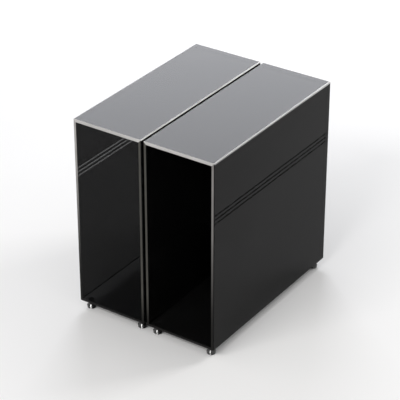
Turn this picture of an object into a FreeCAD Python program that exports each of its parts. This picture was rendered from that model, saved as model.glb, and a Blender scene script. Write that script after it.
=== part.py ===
import FreeCAD, Part
import os

# Record storage rack: a pair of open-fronted boxes of smoked acrylic sheet, each on four turned feet.
# Lengths are in millimetres. +X is right, +Z is up, and the open fronts face -Y.
# The origin lies on the floor, under the middle of the pair.

# The boxes
rack_width = 134.8
rack_depth = 352.0
box_height = 348.0
rack_gap = 4.6
sheet_thickness = 5.0
arris_chamfer = 1.0

# Three V grooves from front to back on the outer face of each side panel
groove_count = 3
groove_drop = 94.0
groove_pitch = 7.3
groove_width = 2.0
groove_depth = 0.9

# Turned feet, bonded under the bottom panel: a neck, a broad body, a waist and a toe
foot_inset = 13.5
neck_diameter = 11.0
neck_height = 7.5
body_diameter = 16.0
body_height = 4.3
waist_diameter = 12.4
waist_height = 1.0
toe_diameter = 15.0
toe_height = 2.4

# Adhesive disc above each foot, and rubber pad below it
tape_diameter = 10.0
tape_thickness = 0.5
pad_diameter = 12.0
pad_thickness = 0.8

# Allowances of the model itself
cut_overrun = 1.0

foot_height = neck_height + body_height + waist_height + toe_height
floor_clearance = pad_thickness + foot_height + tape_thickness


def block(low, high):
    """A rectangular sheet between two opposite corners."""
    return Part.makeBox(high.x - low.x, high.y - low.y, high.z - low.z, low)


def eased_block(low, high):
    """The whole box as one block, with a narrow chamfer along each of its outer edges."""
    whole = block(low, high)
    return whole.makeChamfer(arris_chamfer, whole.Edges)


def section_corners(low, high, inset):
    """The corners of the box's upright section at its front, all drawn in by the same inset."""
    left = low.x + inset
    right = high.x - inset
    bottom = low.z + inset
    top = high.z - inset
    return {
        "lower_left": FreeCAD.Vector(left, low.y, bottom),
        "lower_right": FreeCAD.Vector(right, low.y, bottom),
        "upper_left": FreeCAD.Vector(left, low.y, top),
        "upper_right": FreeCAD.Vector(right, low.y, top),
    }


def mitred_panel(first, second, low, high):
    """The sheet between two corners of the section, mitred where it meets the next sheets."""
    outer = section_corners(low, high, 0)
    inner = section_corners(low, high, sheet_thickness)
    corners = [outer[first], outer[second], inner[second], inner[first]]
    outline = Part.makePolygon(corners + corners[:1])
    panel = Part.Face(outline).extrude(FreeCAD.Vector(0, high.y - low.y, 0))
    return panel.common(eased_block(low, high))


def groove_cutter(face_x, inward, height, low, high):
    """A V-shaped bar along the depth of a side, with its point inside the sheet."""
    slope = groove_width / 2 / groove_depth
    half_mouth = slope * (groove_depth + cut_overrun)
    mouth_x = face_x - inward * cut_overrun
    start_y = low.y - cut_overrun
    corners = [
        FreeCAD.Vector(face_x + inward * groove_depth, start_y, height),
        FreeCAD.Vector(mouth_x, start_y, height + half_mouth),
        FreeCAD.Vector(mouth_x, start_y, height - half_mouth),
    ]
    outline = Part.makePolygon(corners + corners[:1])
    run = FreeCAD.Vector(0, high.y - low.y + cut_overrun + cut_overrun, 0)
    return Part.Face(outline).extrude(run)


def grooved_panel(panel, face_x, inward, low, high):
    """A side sheet with its grooves cut into the outer face."""
    for number in range(groove_count):
        height = high.z - groove_drop - number * groove_pitch
        panel = panel.cut(groove_cutter(face_x, inward, height, low, high))
    return panel


def box_panels(low, high):
    """The five sheets of one box: four mitred to each other in a loop, and the back let in between them."""
    left = mitred_panel("lower_left", "upper_left", low, high)
    right = mitred_panel("lower_right", "upper_right", low, high)
    inner = section_corners(low, high, sheet_thickness)
    back_low = inner["lower_left"] + FreeCAD.Vector(0, high.y - low.y - sheet_thickness, 0)
    back_high = inner["upper_right"] + FreeCAD.Vector(0, high.y - low.y, 0)
    return {
        "top_panel": mitred_panel("upper_left", "upper_right", low, high),
        "bottom_panel": mitred_panel("lower_left", "lower_right", low, high),
        "left_panel": grooved_panel(left, low.x, 1, low, high),
        "right_panel": grooved_panel(right, high.x, -1, low, high),
        "back_panel": block(back_low, back_high),
    }


def turned_foot():
    """A foot turned from rod: a toe, a waist, a broad body, and a neck up to the adhesive disc."""
    toe_top = pad_thickness + toe_height
    body_low = toe_top + waist_height
    body_top = body_low + body_height
    foot_top = body_top + neck_height
    profile = [
        (0, pad_thickness),
        (toe_diameter / 2, pad_thickness),
        (toe_diameter / 2, toe_top),
        (waist_diameter / 2, toe_top),
        (waist_diameter / 2, body_low),
        (body_diameter / 2, body_low),
        (body_diameter / 2, body_top),
        (neck_diameter / 2, body_top),
        (neck_diameter / 2, foot_top),
        (0, foot_top),
    ]
    corners = [FreeCAD.Vector(radius, 0, height) for radius, height in profile]
    outline = Part.makePolygon(corners + corners[:1])
    return Part.Face(outline).revolve(FreeCAD.Vector(), FreeCAD.Vector(0, 0, 1), 360)


def foot_pad():
    """The rubber pad between the toe and the floor."""
    return Part.makeCylinder(pad_diameter / 2, pad_thickness)


def adhesive_disc():
    """The double-sided disc between the foot and the bottom panel."""
    foot_top = FreeCAD.Vector(0, 0, pad_thickness + foot_height)
    return Part.makeCylinder(tape_diameter / 2, tape_thickness, foot_top)


def foot_places(low, high):
    """Where the four feet of one rack stand, by the name of their corner."""
    return {
        "front_left": FreeCAD.Vector(low.x + foot_inset, low.y + foot_inset, 0),
        "front_right": FreeCAD.Vector(high.x - foot_inset, low.y + foot_inset, 0),
        "rear_left": FreeCAD.Vector(low.x + foot_inset, high.y - foot_inset, 0),
        "rear_right": FreeCAD.Vector(high.x - foot_inset, high.y - foot_inset, 0),
    }


def rack(rack_name, left_x):
    """Every piece of one rack, by node name."""
    low = FreeCAD.Vector(left_x, -rack_depth / 2, floor_clearance)
    high = FreeCAD.Vector(left_x + rack_width, rack_depth / 2, floor_clearance + box_height)
    pieces = {rack_name + "_" + panel: solid for panel, solid in box_panels(low, high).items()}
    discs = []
    for corner, place in foot_places(low, high).items():
        pieces[rack_name + "_foot_" + corner] = turned_foot().translated(place)
        pieces[rack_name + "_pad_" + corner] = foot_pad().translated(place)
        discs.append(adhesive_disc().translated(place))
    pieces[rack_name + "_adhesive_discs"] = Part.makeCompound(discs)
    return pieces


os.makedirs("parts", exist_ok=True)
nodes = rack("left_rack", -rack_gap / 2 - rack_width)
nodes.update(rack("right_rack", rack_gap / 2))
for node, shape in nodes.items():
    shape.exportStep("parts/" + node + ".step")
    state = "valid" if shape.isValid() else "NOT VALID"
    print(node, len(shape.Solids), "solids", round(shape.Volume), "mm3", state)
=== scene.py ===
# %% [markdown]
# # A pair of record racks in smoked acrylic
# Each rack is an open-fronted box: a top, a bottom, two grooved sides and a back, cut from 5 mm smoked
# acrylic sheet, bonded at mitred corners and stood on four small turned feet. The packed CAD model is
# loaded first, as a fixed frame in metres, and every piece made below is built in the place of the node
# that it stands for.

# %% Load the packed model
import math

import bmesh
import bpy
from mathutils import Matrix, Vector


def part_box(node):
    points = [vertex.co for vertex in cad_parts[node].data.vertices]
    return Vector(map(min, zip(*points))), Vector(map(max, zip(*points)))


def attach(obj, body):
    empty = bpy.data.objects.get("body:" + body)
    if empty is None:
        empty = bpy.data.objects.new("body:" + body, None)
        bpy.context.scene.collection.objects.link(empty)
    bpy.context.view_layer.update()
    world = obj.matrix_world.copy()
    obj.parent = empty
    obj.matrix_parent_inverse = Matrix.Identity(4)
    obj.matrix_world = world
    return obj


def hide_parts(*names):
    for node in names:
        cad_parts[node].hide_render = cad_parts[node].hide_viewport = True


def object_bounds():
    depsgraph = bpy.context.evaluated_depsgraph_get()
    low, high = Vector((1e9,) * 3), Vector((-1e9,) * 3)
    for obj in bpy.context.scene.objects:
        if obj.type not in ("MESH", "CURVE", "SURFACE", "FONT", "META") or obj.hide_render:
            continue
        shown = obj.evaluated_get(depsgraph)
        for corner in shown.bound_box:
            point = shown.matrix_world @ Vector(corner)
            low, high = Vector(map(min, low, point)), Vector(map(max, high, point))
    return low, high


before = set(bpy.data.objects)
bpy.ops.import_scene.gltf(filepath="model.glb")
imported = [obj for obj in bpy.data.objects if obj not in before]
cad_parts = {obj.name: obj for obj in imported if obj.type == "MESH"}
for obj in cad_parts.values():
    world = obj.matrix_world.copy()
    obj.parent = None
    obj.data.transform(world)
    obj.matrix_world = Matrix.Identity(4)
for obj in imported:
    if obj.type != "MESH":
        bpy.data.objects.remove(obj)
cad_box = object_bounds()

RACKS = ("left_rack", "right_rack")
MM = 0.001
size = (cad_box[1] - cad_box[0]) / MM
print("nodes:", len(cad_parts), " size in mm:", [round(side, 1) for side in size])

# %% [markdown]
# ## Writing materials as sums
# A finish is easier to read as a formula than as a web of nodes. The class below wraps one output socket.
# Adding or multiplying two of them puts a Math node into the material, and numbers may stand on either
# side. Every other kind of node comes from the one method `node`, which sets the node's settings first and
# then its sockets.

# %% A socket that can be used in sums
class Wire:
    """One output socket of a node tree."""

    def __init__(self, tree, socket):
        self.tree = tree
        self.socket = socket

    @classmethod
    def node(cls, tree, kind, settings=None, sockets=None, output=0):
        """Adds a node and gives back one of its outputs, or nothing for a node that has none."""
        added = tree.nodes.new("ShaderNode" + kind)
        for name, value in (settings or {}).items():
            setattr(added, name, value)
        for name, value in (sockets or {}).items():
            if isinstance(value, Wire):
                tree.links.new(value.socket, added.inputs[name])
            else:
                added.inputs[name].default_value = value
        return cls(tree, added.outputs[output]) if added.outputs else None

    def math(self, operation, first, second):
        return Wire.node(self.tree, "Math", {"operation": operation}, {0: first, 1: second})

    def __add__(self, other):
        return self.math("ADD", self, other)

    def __sub__(self, other):
        return self.math("SUBTRACT", self, other)

    def __rsub__(self, other):
        return self.math("SUBTRACT", other, self)

    def __mul__(self, other):
        return self.math("MULTIPLY", self, other)

    __radd__ = __add__
    __rmul__ = __mul__


def grey(tone):
    """A neutral colour."""
    return (tone, tone, tone, 1.0)


print("sums know:", ", ".join(name for name in vars(Wire) if name.startswith("__r") or name == "__add__"))

# %% [markdown]
# ## Starting a finish
# Every finish is one material with one shader. Its patterns are placed by the piece's own coordinates,
# which here are metres in the frame of the whole object, so a scratch is as long as its numbers say on
# every panel. Fixed values, such as the refractive index of 1.49 that acrylic has, are set on the shader's
# own sockets.

# %% Helpers for finishes
def start_finish(name):
    """A new material's empty node tree, and the place on the piece in metres."""
    material = bpy.data.materials.new(name)
    material.use_nodes = True
    material.node_tree.nodes.clear()
    tree = material.node_tree
    return material, tree, Wire.node(tree, "TexCoord", output="Object")


def end_finish(material, tree, sockets):
    """Closes a material with its one shader."""
    shader = Wire.node(tree, "BsdfPrincipled", None, sockets)
    Wire.node(tree, "OutputMaterial", None, {"Surface": shader})
    print("finish:", material.name, "with", len(tree.nodes), "nodes")
    return material


def noise(tree, place, scale, detail=2.0, stretch=(1, 1, 1), turn=0.0):
    """Cloudy noise from 0 to 1. scale counts its lumps in a metre, and stretch squeezes it by axis."""
    placing = {"Vector": place, "Scale": stretch, "Rotation": (turn, turn, turn)}
    stretched = Wire.node(tree, "Mapping", None, placing)
    return Wire.node(tree, "TexNoise", None, {"Vector": stretched, "Scale": scale, "Detail": detail})


def between(tree, value, low, high):
    """0 where a value is under low, 1 where it is over high, and a smooth step between them."""
    limits = {"Value": value, "From Min": low, "From Max": high}
    return Wire.node(tree, "MapRange", {"interpolation_type": "SMOOTHSTEP"}, limits)


def blend_colour(tree, mask, dark, light):
    """One colour where the mask is 0 and another where it is 1."""
    colours = {"Factor": mask, 6: dark, 7: light}
    return Wire.node(tree, "Mix", {"data_type": "RGBA"}, colours, output=2)


def bump(tree, height, strength, depth):
    """A normal that follows a height of 0 to 1, depth metres deep."""
    return Wire.node(tree, "Bump", None, {"Height": height, "Strength": strength, "Distance": depth})


print("a finish is made of:", ", ".join(part.__name__ for part in (noise, between, blend_colour, bump)))

# %% [markdown]
# ## The smoked sheet
# Cast acrylic that is tinted through its depth: black at a glance, see-through against the light, and as
# glossy as glass. Real glass maths would bend every ray twice in every sheet. The sheets are thin and flat,
# so plain see-through faces look the same and stay free of grain: each face lets a fixed share of light
# straight on, and a sheet has two faces. What hands and a cloth leave behind shows in the gloss alone: a
# haze, wiping marks that are longest from front to back, and faint smears. The cast sheet is also never
# quite flat, so a mirrored edge wavers.

# %% Finish: smoked sheet
FACE_SOLIDITY = 0.87
ACRYLIC_INDEX = 1.49
SHEET_GLOSS = 0.08


def smoked_sheet_finish():
    material, tree, place = start_finish("smoked_sheet")
    haze = between(tree, noise(tree, place, 6.0, 5.0), 0.35, 0.8)
    wiped = between(tree, noise(tree, place, 60.0, 2.0, (14, 0.5, 14), 0.06), 0.60, 0.72)
    crossed = between(tree, noise(tree, place, 60.0, 2.0, (1, 16, 1), 0.5), 0.64, 0.74)
    smears = between(tree, noise(tree, place, 22.0, 6.0), 0.52, 0.75)
    cast = noise(tree, place, 7.0, 1.0)
    return end_finish(material, tree, {
        "Base Color": blend_colour(tree, haze * 0.6 + smears * 0.4, grey(0.003), grey(0.008)),
        "Roughness": 0.03 + haze * 0.03 + smears * 0.04 + wiped * 0.03 + crossed * 0.02,
        "Normal": bump(tree, cast, 0.15, 0.0006),
        "IOR": ACRYLIC_INDEX,
        "Specular IOR Level": SHEET_GLOSS,
        "Alpha": FACE_SOLIDITY,
    })


smoked_sheet = smoked_sheet_finish()

# %% [markdown]
# ## Cut edges
# A tinted sheet that is lit from above carries light along inside itself and lets it out where it was cut,
# so its edges look paler than its faces. That glow is painted into the edges' colour: palest on the top
# panel, less and less on the way down a side, and hardly at all on the bottom. The edge itself is sawn and
# then lightly polished, which leaves fine slanted marks. The arris on the right of each top is scraped to a
# flat and stays frosted, and a painted highlight on it makes it palest. The arrises of the uprights are
# polished like the faces, and the others look like the edge beside them. One function makes these finishes,
# and each gets its own pair of tones, for the height where the painted glow starts and the height where it is
# full.
# The outer edges on the left are painted paler than those on the right, as if lit from the left, and the
# edges in the gap between the racks darkest, as painted shade.

# %% Finish: cut edges with painted glow
WORN_SHARE = 0.78
TOP_LOW, TOP_HIGH = 0.3595, 0.3645
BOTTOM_LOW, BOTTOM_HIGH = 0.0165, 0.0215


def cut_edge_finish(name, low_tone, high_tone, low, high, gloss):
    """The pale edge of a sheet, its painted glow given as a tone at two heights in metres."""
    material, tree, place = start_finish(name)
    axes = [Wire.node(tree, "SeparateXYZ", None, {0: place}, output=axis) for axis in "XYZ"]
    along = Wire.node(tree, "CombineXYZ", None, {0: axes[0] + axes[1] + axes[2]})
    marks = noise(tree, along, 900.0, 3.0)
    grain = noise(tree, place, 700.0, 2.0)
    patches = noise(tree, place, 40.0, 3.0)
    # Painted glow: paler with height, as light from above would make it; random patches are a little darker,
    # as wear.
    level = between(tree, axes[2], low, high)
    painted_glow = blend_colour(tree, level, (*low_tone, 1), (*high_tone, 1))
    low_worn_painted_glow, high_worn_painted_glow = [(*[WORN_SHARE * part for part in tone], 1) for tone in (low_tone, high_tone)]
    worn_painted_glow = blend_colour(tree, level, low_worn_painted_glow, high_worn_painted_glow)
    return end_finish(material, tree, {
        "Base Color": blend_colour(tree, between(tree, patches * 0.6 + marks * 0.4, 0.35, 0.7), worn_painted_glow, painted_glow),
        "Roughness": 0.24 + marks * 0.16 + grain * 0.12,
        "Normal": bump(tree, marks + grain * 0.4, 0.25, 0.00006),
        "IOR": ACRYLIC_INDEX,
        "Specular IOR Level": gloss,
    })


# Painted glow and highlight: the tops and their arris palest, the left outer edges paler than the right ones
# as if lit from the left, and the edges in the gap darkest, as painted shade.
top_edge = cut_edge_finish("top_edge", (0.47, 0.46, 0.45), (0.50, 0.49, 0.48), TOP_LOW, TOP_HIGH, 0.4)
top_arris_frost_and_painted_highlight = cut_edge_finish("top_arris_frost_and_painted_highlight", (0.64, 0.63, 0.62), (0.67, 0.66, 0.65), TOP_LOW, TOP_HIGH, 0.5)
outer_arris_frost_and_painted_highlight = cut_edge_finish("outer_arris_frost_and_painted_highlight", (0.26, 0.25, 0.24), (0.31, 0.30, 0.29), TOP_LOW, TOP_HIGH, 0.5)
left_edge = cut_edge_finish("left_edge", (0.008, 0.0075, 0.007), (0.36, 0.35, 0.34), 0.07, 0.335, 0.1)
right_edge = cut_edge_finish("right_edge", (0.010, 0.0095, 0.009), (0.22, 0.212, 0.205), 0.05, 0.33, 0.1)
inner_edge = cut_edge_finish("inner_edge", (0.010, 0.0095, 0.0085), (0.066, 0.064, 0.057), 0.022, 0.075, 0.1)
bottom_edge = cut_edge_finish(
    "bottom_edge", (0.004, 0.0036, 0.0035), (0.01, 0.009, 0.009), BOTTOM_LOW, BOTTOM_HIGH, 0.12)

# %% [markdown]
# ## Milled grooves and bonded ends
# The grooves were cut with a pointed mill after the sheet was made. Their flanks don't mirror as a face does,
# so from outside they read as dark lines, and less of the tinted sheet is left behind them, so from inside
# the bay they read as light ones: that takes a flank that is both duller and clearer than a face. Their
# lips are eased a little, which widens the lines. Where two sheets are bonded, the solvent has melted both,
# and what is left to see is a black seam with a few bubbles. Along a mitred corner the tilted seam catches
# light, which a real sheet shows by refraction as a paler band beside the arris; here that band is painted
# light in the faces' colour. It is painted plain on each rack's right, which faces the lens, faint on its
# left, and brightest towards the rear. In the gap between the racks no light reaches the seam, so the
# faces there get no painted band.

# %% Finish: milled groove, solvent weld and painted mitre band
GROOVE_GLOSS, GROOVE_SOLIDITY = 0.02, 0.35
BAND_PAINTED_LIGHT_START = 0.05


def milled_groove_finish():
    material, tree, place = start_finish("milled_groove")
    chatter = noise(tree, place, 300.0, 3.0, (1, 6, 1))
    chips = between(tree, noise(tree, place, 240.0, 3.0), 0.6, 0.75)
    return end_finish(material, tree, {
        "Base Color": blend_colour(tree, chips * 0.5 + chatter * 0.2, grey(0.003), grey(0.012)),
        "Roughness": 0.30 + chatter * 0.2 + chips * 0.15,
        "Normal": bump(tree, chatter, 0.3, 0.00005),
        "IOR": ACRYLIC_INDEX,
        "Specular IOR Level": GROOVE_GLOSS,
        "Alpha": GROOVE_SOLIDITY,
    })


def solvent_weld_finish():
    material, tree, place = start_finish("solvent_weld")
    bubbles = Wire.node(tree, "TexVoronoi", None, {"Vector": place, "Scale": 420.0})
    few = between(tree, noise(tree, place, 30.0, 2.0), 0.55, 0.7)
    seen = (1 - between(tree, bubbles, 0.12, 0.26)) * few
    return end_finish(material, tree, {
        "Base Color": blend_colour(tree, seen, grey(0.004), grey(0.05)),
        "Roughness": 0.18 + seen * 0.3,
        "Normal": bump(tree, seen, 0.3, 0.0001),
        "IOR": ACRYLIC_INDEX,
    })


def rack_box(rack):
    """The low and the high corner of one box, from the four panels that are mitred to each other."""
    boxes = [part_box(rack + "_" + side + "_panel") for side in ("top", "bottom", "left", "right")]
    low = Vector([min(places) for places in zip(*[box[0] for box in boxes])])
    high = Vector([max(places) for places in zip(*[box[1] for box in boxes])])
    return low, high


def painted_mitre_light_finish(rack):
    """The band of painted light beside a corner where the mitre shows through, from faint on the left to pale
    on the right.
    """
    material, tree, place = start_finish(rack + "_painted_mitre_light")
    low, high = rack_box(rack)
    across = Wire.node(tree, "SeparateXYZ", None, {0: place}, output="X")
    along = Wire.node(tree, "SeparateXYZ", None, {0: place}, output="Y")
    patches = noise(tree, place, 30.0, 3.0)
    right = between(tree, across, low.x, high.x)
    rear = between(tree, along, BAND_PAINTED_LIGHT_START, high.y)
    # Painted light: paler to the right and towards the rear, in random patches.
    lit = right * (0.45 + rear * 0.55) * (0.7 + patches * 0.6)
    return end_finish(material, tree, {
        "Base Color": blend_colour(tree, lit, grey(0.02), grey(0.55)),
        "Roughness": 0.05 + patches * 0.06,
        "IOR": ACRYLIC_INDEX,
        "Specular IOR Level": SHEET_GLOSS,
        "Alpha": FACE_SOLIDITY,
    })


milled_groove = milled_groove_finish()
solvent_weld = solvent_weld_finish()
painted_mitre_light = {rack: painted_mitre_light_finish(rack) for rack in RACKS}

# %% [markdown]
# ## The panels
# Four sheets make the loop of each box. They were cut at 45 degrees, so that no sawn edge shows on the
# outside, and the back is let in between them. Every panel is an outline in the X-Z plane, pushed from
# front to back. Each point of an outline names the kind of face that starts there: a polished face, the
# band beside a mitre, a groove's flank or a bonded end. That way one function builds all five, and every
# face knows its finish from the start.

# %% Outlines
FACE, EDGE, GROOVE, WELD, ARRIS, BAND = range(6)
X, Y, Z = range(3)
SHEET = 5.0 * MM
BOX_HEIGHT = 348.0 * MM
GROOVE_COUNT = 3
GROOVE_DROP, GROOVE_PITCH, GROOVE_HALF, GROOVE_DEEP = 94.0 * MM, 7.3 * MM, 1.0 * MM, 0.9 * MM
LIP_WIDTH, LIP_SHARE = 0.3 * MM, 0.12
BAND_WIDTH = 2.8 * MM
GLUE = 0.04 * MM


def level_outline(left, right, outer_z, inner_z, band):
    """The top or the bottom as (x, z, kind) points: an outer face with two bands, and an inner face."""
    return [
        (left, outer_z, band), (left + BAND_WIDTH, outer_z, FACE), (right - BAND_WIDTH, outer_z, band),
        (right, outer_z, WELD), (right - SHEET, inner_z, FACE), (left + SHEET, inner_z, WELD),
    ]


def upright_outline(outer_x, inner_x, low_z, high_z, band):
    """A side: an inner face, and an outer face with a band at the top and notches with eased lips."""
    inward = math.copysign(GROOVE_DEEP, inner_x - outer_x)
    lip_x, lip_z = outer_x + inward * LIP_SHARE, GROOVE_HALF * (1 - LIP_SHARE)
    points = [(inner_x, low_z + SHEET, FACE), (inner_x, high_z - SHEET, WELD), (outer_x, high_z, band)]
    points += [(outer_x, high_z - BAND_WIDTH, FACE)]
    for number in range(GROOVE_COUNT):
        middle = high_z - GROOVE_DROP - number * GROOVE_PITCH
        points += [(outer_x, middle + GROOVE_HALF + LIP_WIDTH, GROOVE), (lip_x, middle + lip_z, GROOVE)]
        points += [(outer_x + inward, middle, GROOVE), (lip_x, middle - lip_z, GROOVE)]
        points += [(outer_x, middle - GROOVE_HALF - LIP_WIDTH, FACE)]
    return points + [(outer_x, low_z, WELD)]


def back_outline(low, high):
    """The back: bonded on all four sides, a film of solvent short of its neighbours."""
    left, right, bottom, top = low.x + GLUE, high.x - GLUE, low.z + GLUE, high.z - GLUE
    return [(left, bottom, WELD), (right, bottom, WELD), (right, top, WELD), (left, top, WELD)]


print("a side's outline has", len(upright_outline(0, SHEET, 0, BOX_HEIGHT, BAND)), "points")

# %% [markdown]
# A maker scrapes a narrow flat along the box's outer corners, so that nobody is cut by them. Cutting the
# sheet with a plane along each corner does the same: it takes the arris off both halves of a mitre alike,
# and a new face closes the cut.

# %% Sheets with eased arrises
ARRIS_CHAMFER = 1.0 * MM
CUT_TOLERANCE = 1e-7


def arris_kind(outward):
    """Frosted along the top's right corner, polished on the uprights, and like the cut edge elsewhere."""
    if outward.z > 0 and outward.x > 0:
        return ARRIS
    return EDGE if outward.z else FACE


def ease_corner(shape, box, axes, ends):
    """Cuts a flat along one outer corner of the box, which runs along the third axis."""
    place, outward = Vector(), Vector()
    for axis, end in zip(axes, ends):
        place[axis] = box[end][axis]
        outward[axis] = 1 if end else -1
    place -= outward * (ARRIS_CHAMFER / 2)
    parts = shape.verts[:] + shape.edges[:] + shape.faces[:]
    cut = bmesh.ops.bisect_plane(
        shape, geom=parts, dist=CUT_TOLERANCE, plane_co=place, plane_no=outward, clear_outer=True)
    rim = [part for part in cut["geom_cut"] if isinstance(part, bmesh.types.BMEdge)]
    if rim:
        bmesh.ops.edgeloop_fill(shape, edges=rim, mat_nr=arris_kind(outward))


def sheet(name, outline, box, front, rear, end_kind, finishes):
    """A panel between two Y planes, with a finish for each kind of face."""
    shape = bmesh.new()
    near = [shape.verts.new((x, front, z)) for x, z, kind in outline]
    far = [shape.verts.new((x, rear, z)) for x, z, kind in outline]
    for rim in (near, far):
        shape.faces.new(rim).material_index = end_kind
    for here, (x, z, kind) in enumerate(outline):
        after = (here + 1) % len(outline)
        shape.faces.new((near[here], near[after], far[after], far[here])).material_index = kind
    for axes in ((X, Y), (X, Z), (Y, Z)):
        for ends in ((0, 0), (0, 1), (1, 0), (1, 1)):
            ease_corner(shape, box, axes, ends)
    bmesh.ops.recalc_face_normals(shape, faces=shape.faces)
    data = bpy.data.meshes.new(name)
    shape.to_mesh(data)
    shape.free()
    for finish in finishes:
        data.materials.append(finish)
    piece = bpy.data.objects.new(name, data)
    bpy.context.scene.collection.objects.link(piece)
    return piece


print("flat along an arris, in mm:", round(ARRIS_CHAMFER * math.sqrt(2) / MM, 2))

# %% [markdown]
# A bonded end stops a hair short of its neighbour, as thick as a film of solvent, so that no two faces of
# different sheets lie in the same plane.

# %% Make the ten panels
def stand_for(piece, node, rack):
    """Puts a piece in the place of a CAD node, on the rack's own body."""
    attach(piece, rack)
    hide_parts(node)


def make_panels(rack):
    """The five sheets of one rack. Sides that face the gap are plainer than the outer ones, with darker
    painted edge tones as painted shade, and no painted band.
    """
    box = low, high = rack_box(rack)
    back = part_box(rack + "_back_panel")
    left, right = low.x + GLUE, high.x - GLUE
    # Painted shade: sides that face the gap take the darkest edge tones and no painted band.
    left_finish, left_band = (left_edge, BAND) if rack == "left_rack" else (inner_edge, FACE)
    right_finish, right_band = (right_edge, BAND) if rack == "right_rack" else (inner_edge, FACE)
    # Painted highlight: the left rack's arris, in the gap, takes the palest tone, and the right rack's side a
    # dimmer one.
    right_arris = outer_arris_frost_and_painted_highlight if rack == "right_rack" else top_arris_frost_and_painted_highlight
    top_side = level_outline(left, right, high.z, high.z - SHEET, BAND)
    bottom_side = level_outline(left, right, low.z, low.z + SHEET, FACE)
    left_side = upright_outline(low.x, low.x + SHEET, low.z, high.z, left_band)
    right_side = upright_outline(high.x, high.x - SHEET, low.z, high.z, right_band)
    outlines = {
        "top": (top_side, low.y, EDGE, top_edge, top_arris_frost_and_painted_highlight),
        "bottom": (bottom_side, low.y, EDGE, bottom_edge, bottom_edge),
        "left": (left_side, low.y, EDGE, left_finish, outer_arris_frost_and_painted_highlight),
        "right": (right_side, low.y, EDGE, right_finish, right_arris),
        "back": (back_outline(*back), back[0].y, FACE, bottom_edge, bottom_edge),
    }
    for part, (outline, front, end_kind, edge, arris) in outlines.items():
        finishes = (smoked_sheet, edge, milled_groove, solvent_weld, arris, painted_mitre_light[rack])
        panel = sheet(rack + "_" + part + "_sheet", outline, box, front, high.y, end_kind, finishes)
        stand_for(panel, rack + "_" + part + "_panel", rack)
        print(panel.name, "faces:", len(panel.data.polygons))


for rack in RACKS:
    make_panels(rack)

# %% [markdown]
# ## The feet
# Each foot was turned on a lathe from black rod and polished: a toe, a narrow waist, a broad body and a
# neck that is glued to the bottom panel. The finish is nearly black, with fine rings that follow the tool
# and a little wear, and it is glossy enough to show a lamp as a bright spot.

# %% Finish: turned black foot
def turned_foot_finish():
    material, tree, place = start_finish("turned_foot")
    height = Wire.node(tree, "SeparateXYZ", None, {0: place}, output="Z")
    rings = noise(tree, Wire.node(tree, "CombineXYZ", None, {2: height}), 2600.0, 3.0)
    wear = between(tree, noise(tree, place, 260.0, 4.0), 0.55, 0.75)
    return end_finish(material, tree, {
        "Base Color": blend_colour(tree, wear, grey(0.006), grey(0.016)),
        "Roughness": 0.04 + rings * 0.04 + wear * 0.06,
        "Normal": bump(tree, rings, 0.2, 0.00002),
        "IOR": 1.5,
        "Specular IOR Level": 0.6,
    })


turned_foot = turned_foot_finish()

# %% [markdown]
# A lathe shape is a profile spun about an axis. A screw modifier could spin a curve, but rings of points
# keep the caps flat and the count of faces in hand. A quarter of an ellipse rounds a rim.

# %% Spin a profile
ROUND_STEPS = 48
RIM_STEPS = 6
SHARP_ANGLE = math.radians(25)


def swell(inner, outer, start, end):
    """A rounded rim of a profile: out from one radius to another, on the way from one height to the next."""
    points = []
    for step in range(RIM_STEPS + 1):
        turn = step / RIM_STEPS * math.pi / 2
        points.append((inner + (outer - inner) * math.sin(turn), end + (start - end) * math.cos(turn)))
    return points


def turned(name, profile, centre, finish):
    """A lathe shape about an upright axis through centre. The profile starts and ends on the axis."""
    shape = bmesh.new()
    rings = []
    for radius, height in profile[1:-1]:
        ring = []
        for step in range(ROUND_STEPS):
            angle = 2 * math.pi * step / ROUND_STEPS
            across, along = radius * math.cos(angle), radius * math.sin(angle)
            ring.append(shape.verts.new((centre.x + across, centre.y + along, height)))
        rings.append(ring)
    for lower, upper in zip(rings, rings[1:]):
        for here in range(ROUND_STEPS):
            shape.faces.new((lower[here - 1], lower[here], upper[here], upper[here - 1]))
    shape.faces.new(rings[0])
    shape.faces.new(rings[-1])
    bmesh.ops.recalc_face_normals(shape, faces=shape.faces)
    data = bpy.data.meshes.new(name)
    shape.to_mesh(data)
    shape.free()
    data.shade_smooth()
    data.set_sharp_from_angle(angle=SHARP_ANGLE)
    data.materials.append(finish)
    piece = bpy.data.objects.new(name, data)
    bpy.context.scene.collection.objects.link(piece)
    return piece


print("a rounded rim has", len(swell(0, 1, 0, 1)), "points")

# %% [markdown]
# The toe and the body each have a rounded rim below and a straight sloping shoulder above, because the two
# bright spots on a real foot sit on such shoulders. The feet also go into a collection, for a lamp that
# lights them alone.

# %% Make the eight feet
CORNERS = ("front_left", "front_right", "rear_left", "rear_right")
TOE_RADIUS, TOE_HEIGHT, TOE_SOLE, TOE_CREST = 7.5 * MM, 2.4 * MM, 6.6 * MM, 0.6 * MM
WAIST_RADIUS, WAIST_HEIGHT = 6.2 * MM, 1.0 * MM
BODY_RADIUS, BODY_HEIGHT, BODY_CREST = 8.0 * MM, 4.3 * MM, 0.9 * MM
NECK_RADIUS = 5.5 * MM
turned_feet = bpy.data.collections.new("turned_feet")


def make_foot(rack, corner):
    """One foot, turned to the height and at the place of its node."""
    node = rack + "_foot_" + corner
    low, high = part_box(node)
    toe_top = low.z + TOE_HEIGHT
    body_low = toe_top + WAIST_HEIGHT
    body_top = body_low + BODY_HEIGHT
    toe = swell(TOE_SOLE, TOE_RADIUS, low.z, low.z + TOE_CREST) + [(WAIST_RADIUS, toe_top)]
    body = swell(WAIST_RADIUS, BODY_RADIUS, body_low, body_low + BODY_CREST) + [(NECK_RADIUS, body_top)]
    profile = [(0, low.z), *toe, *body, (NECK_RADIUS, high.z), (0, high.z)]
    foot = turned(rack + "_turned_foot_" + corner, profile, (low + high) / 2, turned_foot)
    stand_for(foot, node, rack)
    turned_feet.objects.link(foot)


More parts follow.
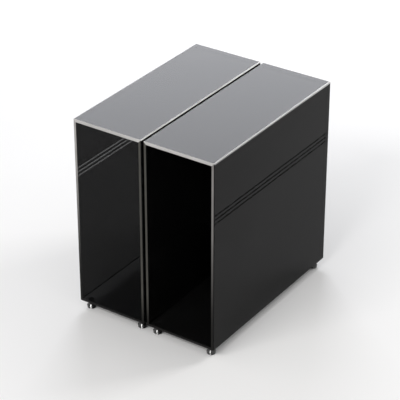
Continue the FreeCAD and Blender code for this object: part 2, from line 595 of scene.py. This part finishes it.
for rack in RACKS:
    for corner in CORNERS:
        make_foot(rack, corner)
print("feet:", len(RACKS) * len(CORNERS))

# %% [markdown]
# ## Pads and adhesive discs
# Under each foot a thin rubber pad stops the rack from sliding. Between foot and bottom panel is a disc of
# foam tape. Both hardly show. The pads get a rounded rim, which rubber always has, and the discs keep their
# CAD shape and only take a finish.

# %% Finish: rubber pad and foam tape
def pad_rubber_finish():
    material, tree, place = start_finish("pad_rubber")
    grain = noise(tree, place, 1500.0, 3.0)
    scuffs = between(tree, noise(tree, place, 180.0, 4.0), 0.5, 0.75)
    return end_finish(material, tree, {
        "Base Color": blend_colour(tree, scuffs, grey(0.018), grey(0.045)),
        "Roughness": 0.62 + grain * 0.2 + scuffs * 0.1,
        "Normal": bump(tree, grain, 0.4, 0.0001),
    })


def foam_tape_finish():
    material, tree, place = start_finish("foam_tape")
    cells = Wire.node(tree, "TexVoronoi", None, {"Vector": place, "Scale": 2200.0})
    return end_finish(material, tree, {
        "Base Color": blend_colour(tree, between(tree, cells, 0.1, 0.6), grey(0.02), grey(0.06)),
        "Roughness": 0.75 + cells * 0.15,
        "Normal": bump(tree, cells, 0.5, 0.0001),
    })


pad_rubber = pad_rubber_finish()
foam_tape = foam_tape_finish()

# %% [markdown]
# A pad is spun like a foot: a rim that swells to the middle of its height, and the same rim again, turned
# over.

# %% Make the pads and dress the discs
PAD_RIM = 0.4 * MM
for rack in RACKS:
    for corner in CORNERS:
        node = rack + "_pad_" + corner
        low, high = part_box(node)
        radius = (high.x - low.x) / 2
        flat = radius - PAD_RIM
        middle = (low.z + high.z) / 2
        upper_rim = swell(flat, radius, high.z, middle)[-2::-1]
        profile = [(0, low.z), *swell(flat, radius, low.z, middle), *upper_rim, (0, high.z)]
        pad = turned(rack + "_rubber_pad_" + corner, profile, (low + high) / 2, pad_rubber)
        stand_for(pad, node, rack)
    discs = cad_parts[rack + "_adhesive_discs"]
    discs.data.materials.clear()
    discs.data.materials.append(foam_tape)
print("pads:", len(RACKS) * len(CORNERS), " disc nodes:", len(RACKS))

# %% [markdown]
# ## Floor and light
# The pair stands on a plain pale floor under a pale sky. To the eye the sky is white, also in a mirroring
# face and through a sheet, but it lights the scene less than that. Far away the floor fades to the same
# white, so that no line of a horizon shows in level views, and near the racks it keeps their shadow.

# %% Floor and sky
FLOOR_REACH = 8.0
FADE_START, FADE_END = 1.2, 3.0
SKY_LEVEL = 0.48


def background_rays(tree):
    """1 for rays that show the background, also mirrored or through a sheet, and 0 for rays that light."""
    kinds = ("Is Camera Ray", "Is Glossy Ray", "Is Transmission Ray")
    seen, mirrored, through = [Wire.node(tree, "LightPath", output=kind) for kind in kinds]
    return between(tree, seen + mirrored + through, 0.0, 1.0)


def make_floor():
    """A pale floor that keeps the shadow near the racks and fades to white far away."""
    corners = [(x * FLOOR_REACH, y * FLOOR_REACH, 0) for x, y in ((-1, -1), (1, -1), (1, 1), (-1, 1))]
    data = bpy.data.meshes.new("floor")
    data.from_pydata(corners, [], [(0, 1, 2, 3)])
    material, tree, place = start_finish("pale_floor")
    clouds = noise(tree, place, 3.0, 2.0)
    near = Wire.node(tree, "BsdfPrincipled", None, {
        "Base Color": blend_colour(tree, clouds, grey(0.90), grey(0.93)),
        "Roughness": 0.8,
        "Specular IOR Level": 0.1,
    })
    white = Wire.node(tree, "Emission", None, {"Color": grey(1.0), "Strength": 1.0})
    distance = Wire.node(tree, "VectorMath", {"operation": "LENGTH"}, {0: place}, output="Value")
    far = between(tree, distance, FADE_START, FADE_END) * background_rays(tree)
    surface = Wire.node(tree, "MixShader", None, {0: far, 1: near, 2: white})
    Wire.node(tree, "OutputMaterial", None, {"Surface": surface})
    data.materials.append(material)
    floor = bpy.data.objects.new("floor", data)
    bpy.context.scene.collection.objects.link(floor)
    print("the floor fades to white from", FADE_START, "m to", FADE_END, "m")


def make_sky(level):
    """A sky that looks white and lights the scene at its own level."""
    world = bpy.data.worlds.new("sky")
    world.use_nodes = True
    tree = world.node_tree
    tree.nodes.clear()
    white = background_rays(tree)
    sky = Wire.node(tree, "Background", None, {"Color": grey(1.0), "Strength": level + white * (1 - level)})
    Wire.node(tree, "OutputWorld", None, {"Surface": sky})
    bpy.context.scene.world = world


make_floor()
make_sky(SKY_LEVEL)

# %% [markdown]
# Black acrylic shows its shape by what it mirrors, so the soft boxes are placed by reflection. A wide one
# behind and to the left is there for the top panels, which mirror that side to the camera. One at the rear
# right catches the frosted arrises. One in front lights the cut edges, and the last, close to it, gives the
# feet their bright spots and lights nothing else. The right-hand side mirrors only the floor beside it, and
# no box, so it stays dark.

# %% Soft boxes
def aimed(place, look):
    """A place and a direction as one matrix. Lamps and cameras look along their own -Z axis."""
    return Matrix.Translation(place) @ look.to_track_quat("-Z", "Y").to_matrix().to_4x4()


def soft_box(name, place, target, width, height, watts, colour, pieces=None):
    """An area lamp. Given a collection of pieces, it lights these alone."""
    lamp = bpy.data.lights.new(name, "AREA")
    lamp.shape = "RECTANGLE"
    lamp.size, lamp.size_y = width, height
    lamp.energy = watts
    lamp.color = colour
    light = bpy.data.objects.new(name, lamp)
    light.matrix_world = aimed(place, Vector(target) - Vector(place))
    light.light_linking.receiver_collection = pieces
    bpy.context.scene.collection.objects.link(light)
    print(name, "radiance:", round(watts / (math.pi * width * height), 2))


soft_box("top_light", (-1.106, 1.625, 1.353), (0, 0, 0.36), 1.0, 0.65, 17.3, (0.93, 0.945, 1.0))
soft_box("corner_light", (1.2, 1.83, 1.5), (0, 0, 0.36), 0.8, 0.8, 20.0, (1.0, 0.99, 0.98))
soft_box("front_light", (-0.15, -2.15, 1.9), (0, 0, 0.2), 1.8, 0.7, 40.0, (1.0, 0.985, 0.97))
soft_box("glint_light", (-0.15, -2.10, 1.85), (0, 0, 0.2), 1.8, 0.7, 75.0, (1.0, 0.985, 0.97), turned_feet)

# %% [markdown]
# ## Camera
# The photograph was taken from the front right, about three metres away and looking down by about 30
# degrees, with a long lens that keeps the upright edges nearly parallel. These numbers were fitted to the
# corners of the two boxes.

# %% Camera
CAMERA_PLACE = Vector((1.43643, -2.12627, 1.63675))
CAMERA_LOOK = Vector((-0.48848, 0.71849, -0.49514))
LENS_MM, SENSOR_MM = 156.17, 36.0
lens = bpy.data.cameras.new("camera")
lens.lens = LENS_MM
lens.sensor_width = SENSOR_MM
camera = bpy.data.objects.new("camera", lens)
camera.matrix_world = aimed(CAMERA_PLACE, CAMERA_LOOK)
bpy.context.scene.collection.objects.link(camera)
bpy.context.scene.camera = camera
bpy.context.scene.view_settings.view_transform = "Standard"
print("camera is", round(CAMERA_PLACE.length, 3), "m from the middle of the floor")

# %% [markdown]
